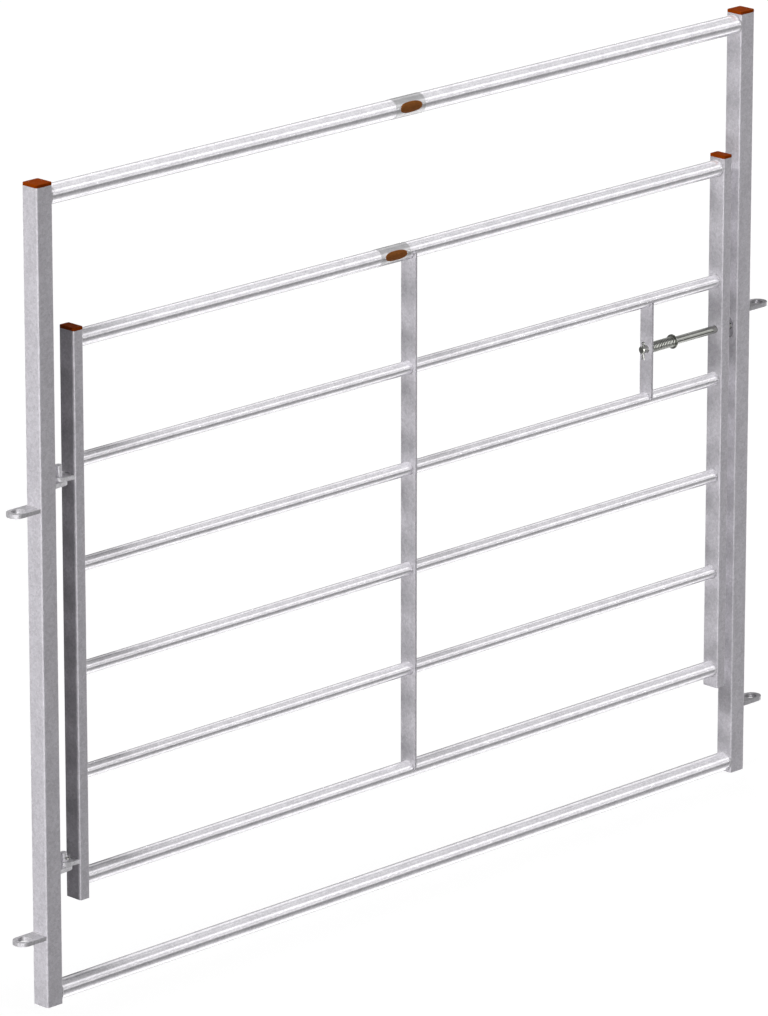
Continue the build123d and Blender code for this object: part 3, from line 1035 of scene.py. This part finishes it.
loop_grids = []
for post, way in (("hinge_post", -1.0), ("latch_post", 1.0)):
    for level in ("upper", "lower"):
        loop_grids += plate_beads(f"{post}_{level}_loop", way, LOOP_WELD_HALF)
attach(piece_from_grids("loop_welds", loop_grids, weld_zinc), "frame")
for ending, way, body in (("bracket", 1.0, "frame"), ("eye", -1.0, "gate")):
    grids = []
    for level in ("upper", "lower"):
        grids += plate_beads(f"{level}_hinge_{ending}", way, LUG_WELD_HALF)
    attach(piece_from_grids(f"hinge_{ending}_welds", grids, weld_zinc), body)

# %% [markdown]
# The washer is held on the bolt by a small bead of its own. The solid is a plain cone there, so
# the same bead function replaces it, in the plating's colour, because the bolt was plated whole.

# %% Washer weld
WASHER_LEG = 3.8 * MM
WASHER_EDGE = 0.4 * MM

washer_low, washer_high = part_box("bolt_washer")
washer_bead = rail_bead(
    axis_z=bolt_axis_z,
    radius=(bolt_high.z - bolt_low.z) / 2,
    face_x=washer_high.x,
    way=1.0,
    leg=WASHER_LEG,
    half_width=(washer_high.y - washer_low.y) / 2,
    edge_radius=WASHER_EDGE,
)
washer_weld = piece_from_grids("rippled_washer_weld", [washer_bead], plating)
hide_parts("washer_weld")
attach(washer_weld, "bolt")

# %% [markdown]
# Each top rail carries a band of film with a printed patch on its front. The patch here is plain.
# A mask in the film's own finish would colour it, but without the thin edge that a patch has. So
# it is a rounded lozenge that follows the tube: the grid's first direction goes out from the
# patch's middle to its rim and back underneath, its second goes round a superellipse, and the
# result is wrapped on the tube's radius with its rim pressed into the film.

# %% Patches on the label bands
PATCH_LENGTH = 74.0 * MM
PATCH_WRAP = np.radians(66.0)
PATCH_LEAN = np.radians(6.0)
PATCH_THICKNESS = 0.35 * MM
PATCH_SUNK = 0.25 * MM
SQUARENESS = 2.3
RIM_POWER = 10
FRONT_STEPS = 10
BACK_STEPS = 4
RIM_POINTS = 64
INNERMOST = 0.02


def patch_grid(middle_x, axis_z, radius):
    """Lozenge on a tube: distance from the middle times a superellipse gives length and wrap
    angle; the radius is the tube's plus a thickness that falls to nothing at the rim; the back
    lies under the film."""
    front = np.linspace(INNERMOST, 1.0, FRONT_STEPS)
    back = np.linspace(1.0, INNERMOST, BACK_STEPS)
    out = np.concatenate([front, back])[:, None]
    raised = PATCH_THICKNESS * (1 - front**RIM_POWER)
    lift = np.concatenate([raised, np.full(BACK_STEPS, -PATCH_SUNK)])[:, None]
    turn = np.linspace(0.0, 2 * np.pi, RIM_POINTS, endpoint=False)[None, :]
    power = 2.0 / SQUARENESS
    lengthwise = np.sign(np.cos(turn)) * np.abs(np.cos(turn)) ** power
    crosswise = np.sign(np.sin(turn)) * np.abs(np.sin(turn)) ** power
    x = middle_x + out * lengthwise * PATCH_LENGTH / 2
    angle = np.pi - PATCH_LEAN + out * crosswise * PATCH_WRAP / 2
    away = radius + lift + 0 * turn
    return np.stack([x, away * np.cos(angle), axis_z + away * np.sin(angle)], axis=-1)


for band, body in (("frame_label_band", "frame"), ("gate_label_band", "gate")):
    axis_z, radius, start, end = round_rail(band)
    grid = patch_grid((start + end) / 2, axis_z, radius)
    patch = piece_from_grids(band.replace("band", "patch"), [(grid, False)], patch_print)
    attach(patch, body)

# %% [markdown]
# The dressing must not change the size of the gate. The box of the bare solids was kept at the
# start, and here the box of the finished gate is measured and the growth between the two is
# printed.

# %% Sizes and finish
low, high = (list(corner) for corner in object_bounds())
growth = np.round((np.array(high) - np.array(low) - np.array(cad_high) + np.array(cad_low)) / MM, 2)
print("finished gate is larger than the solids by", growth, "mm")
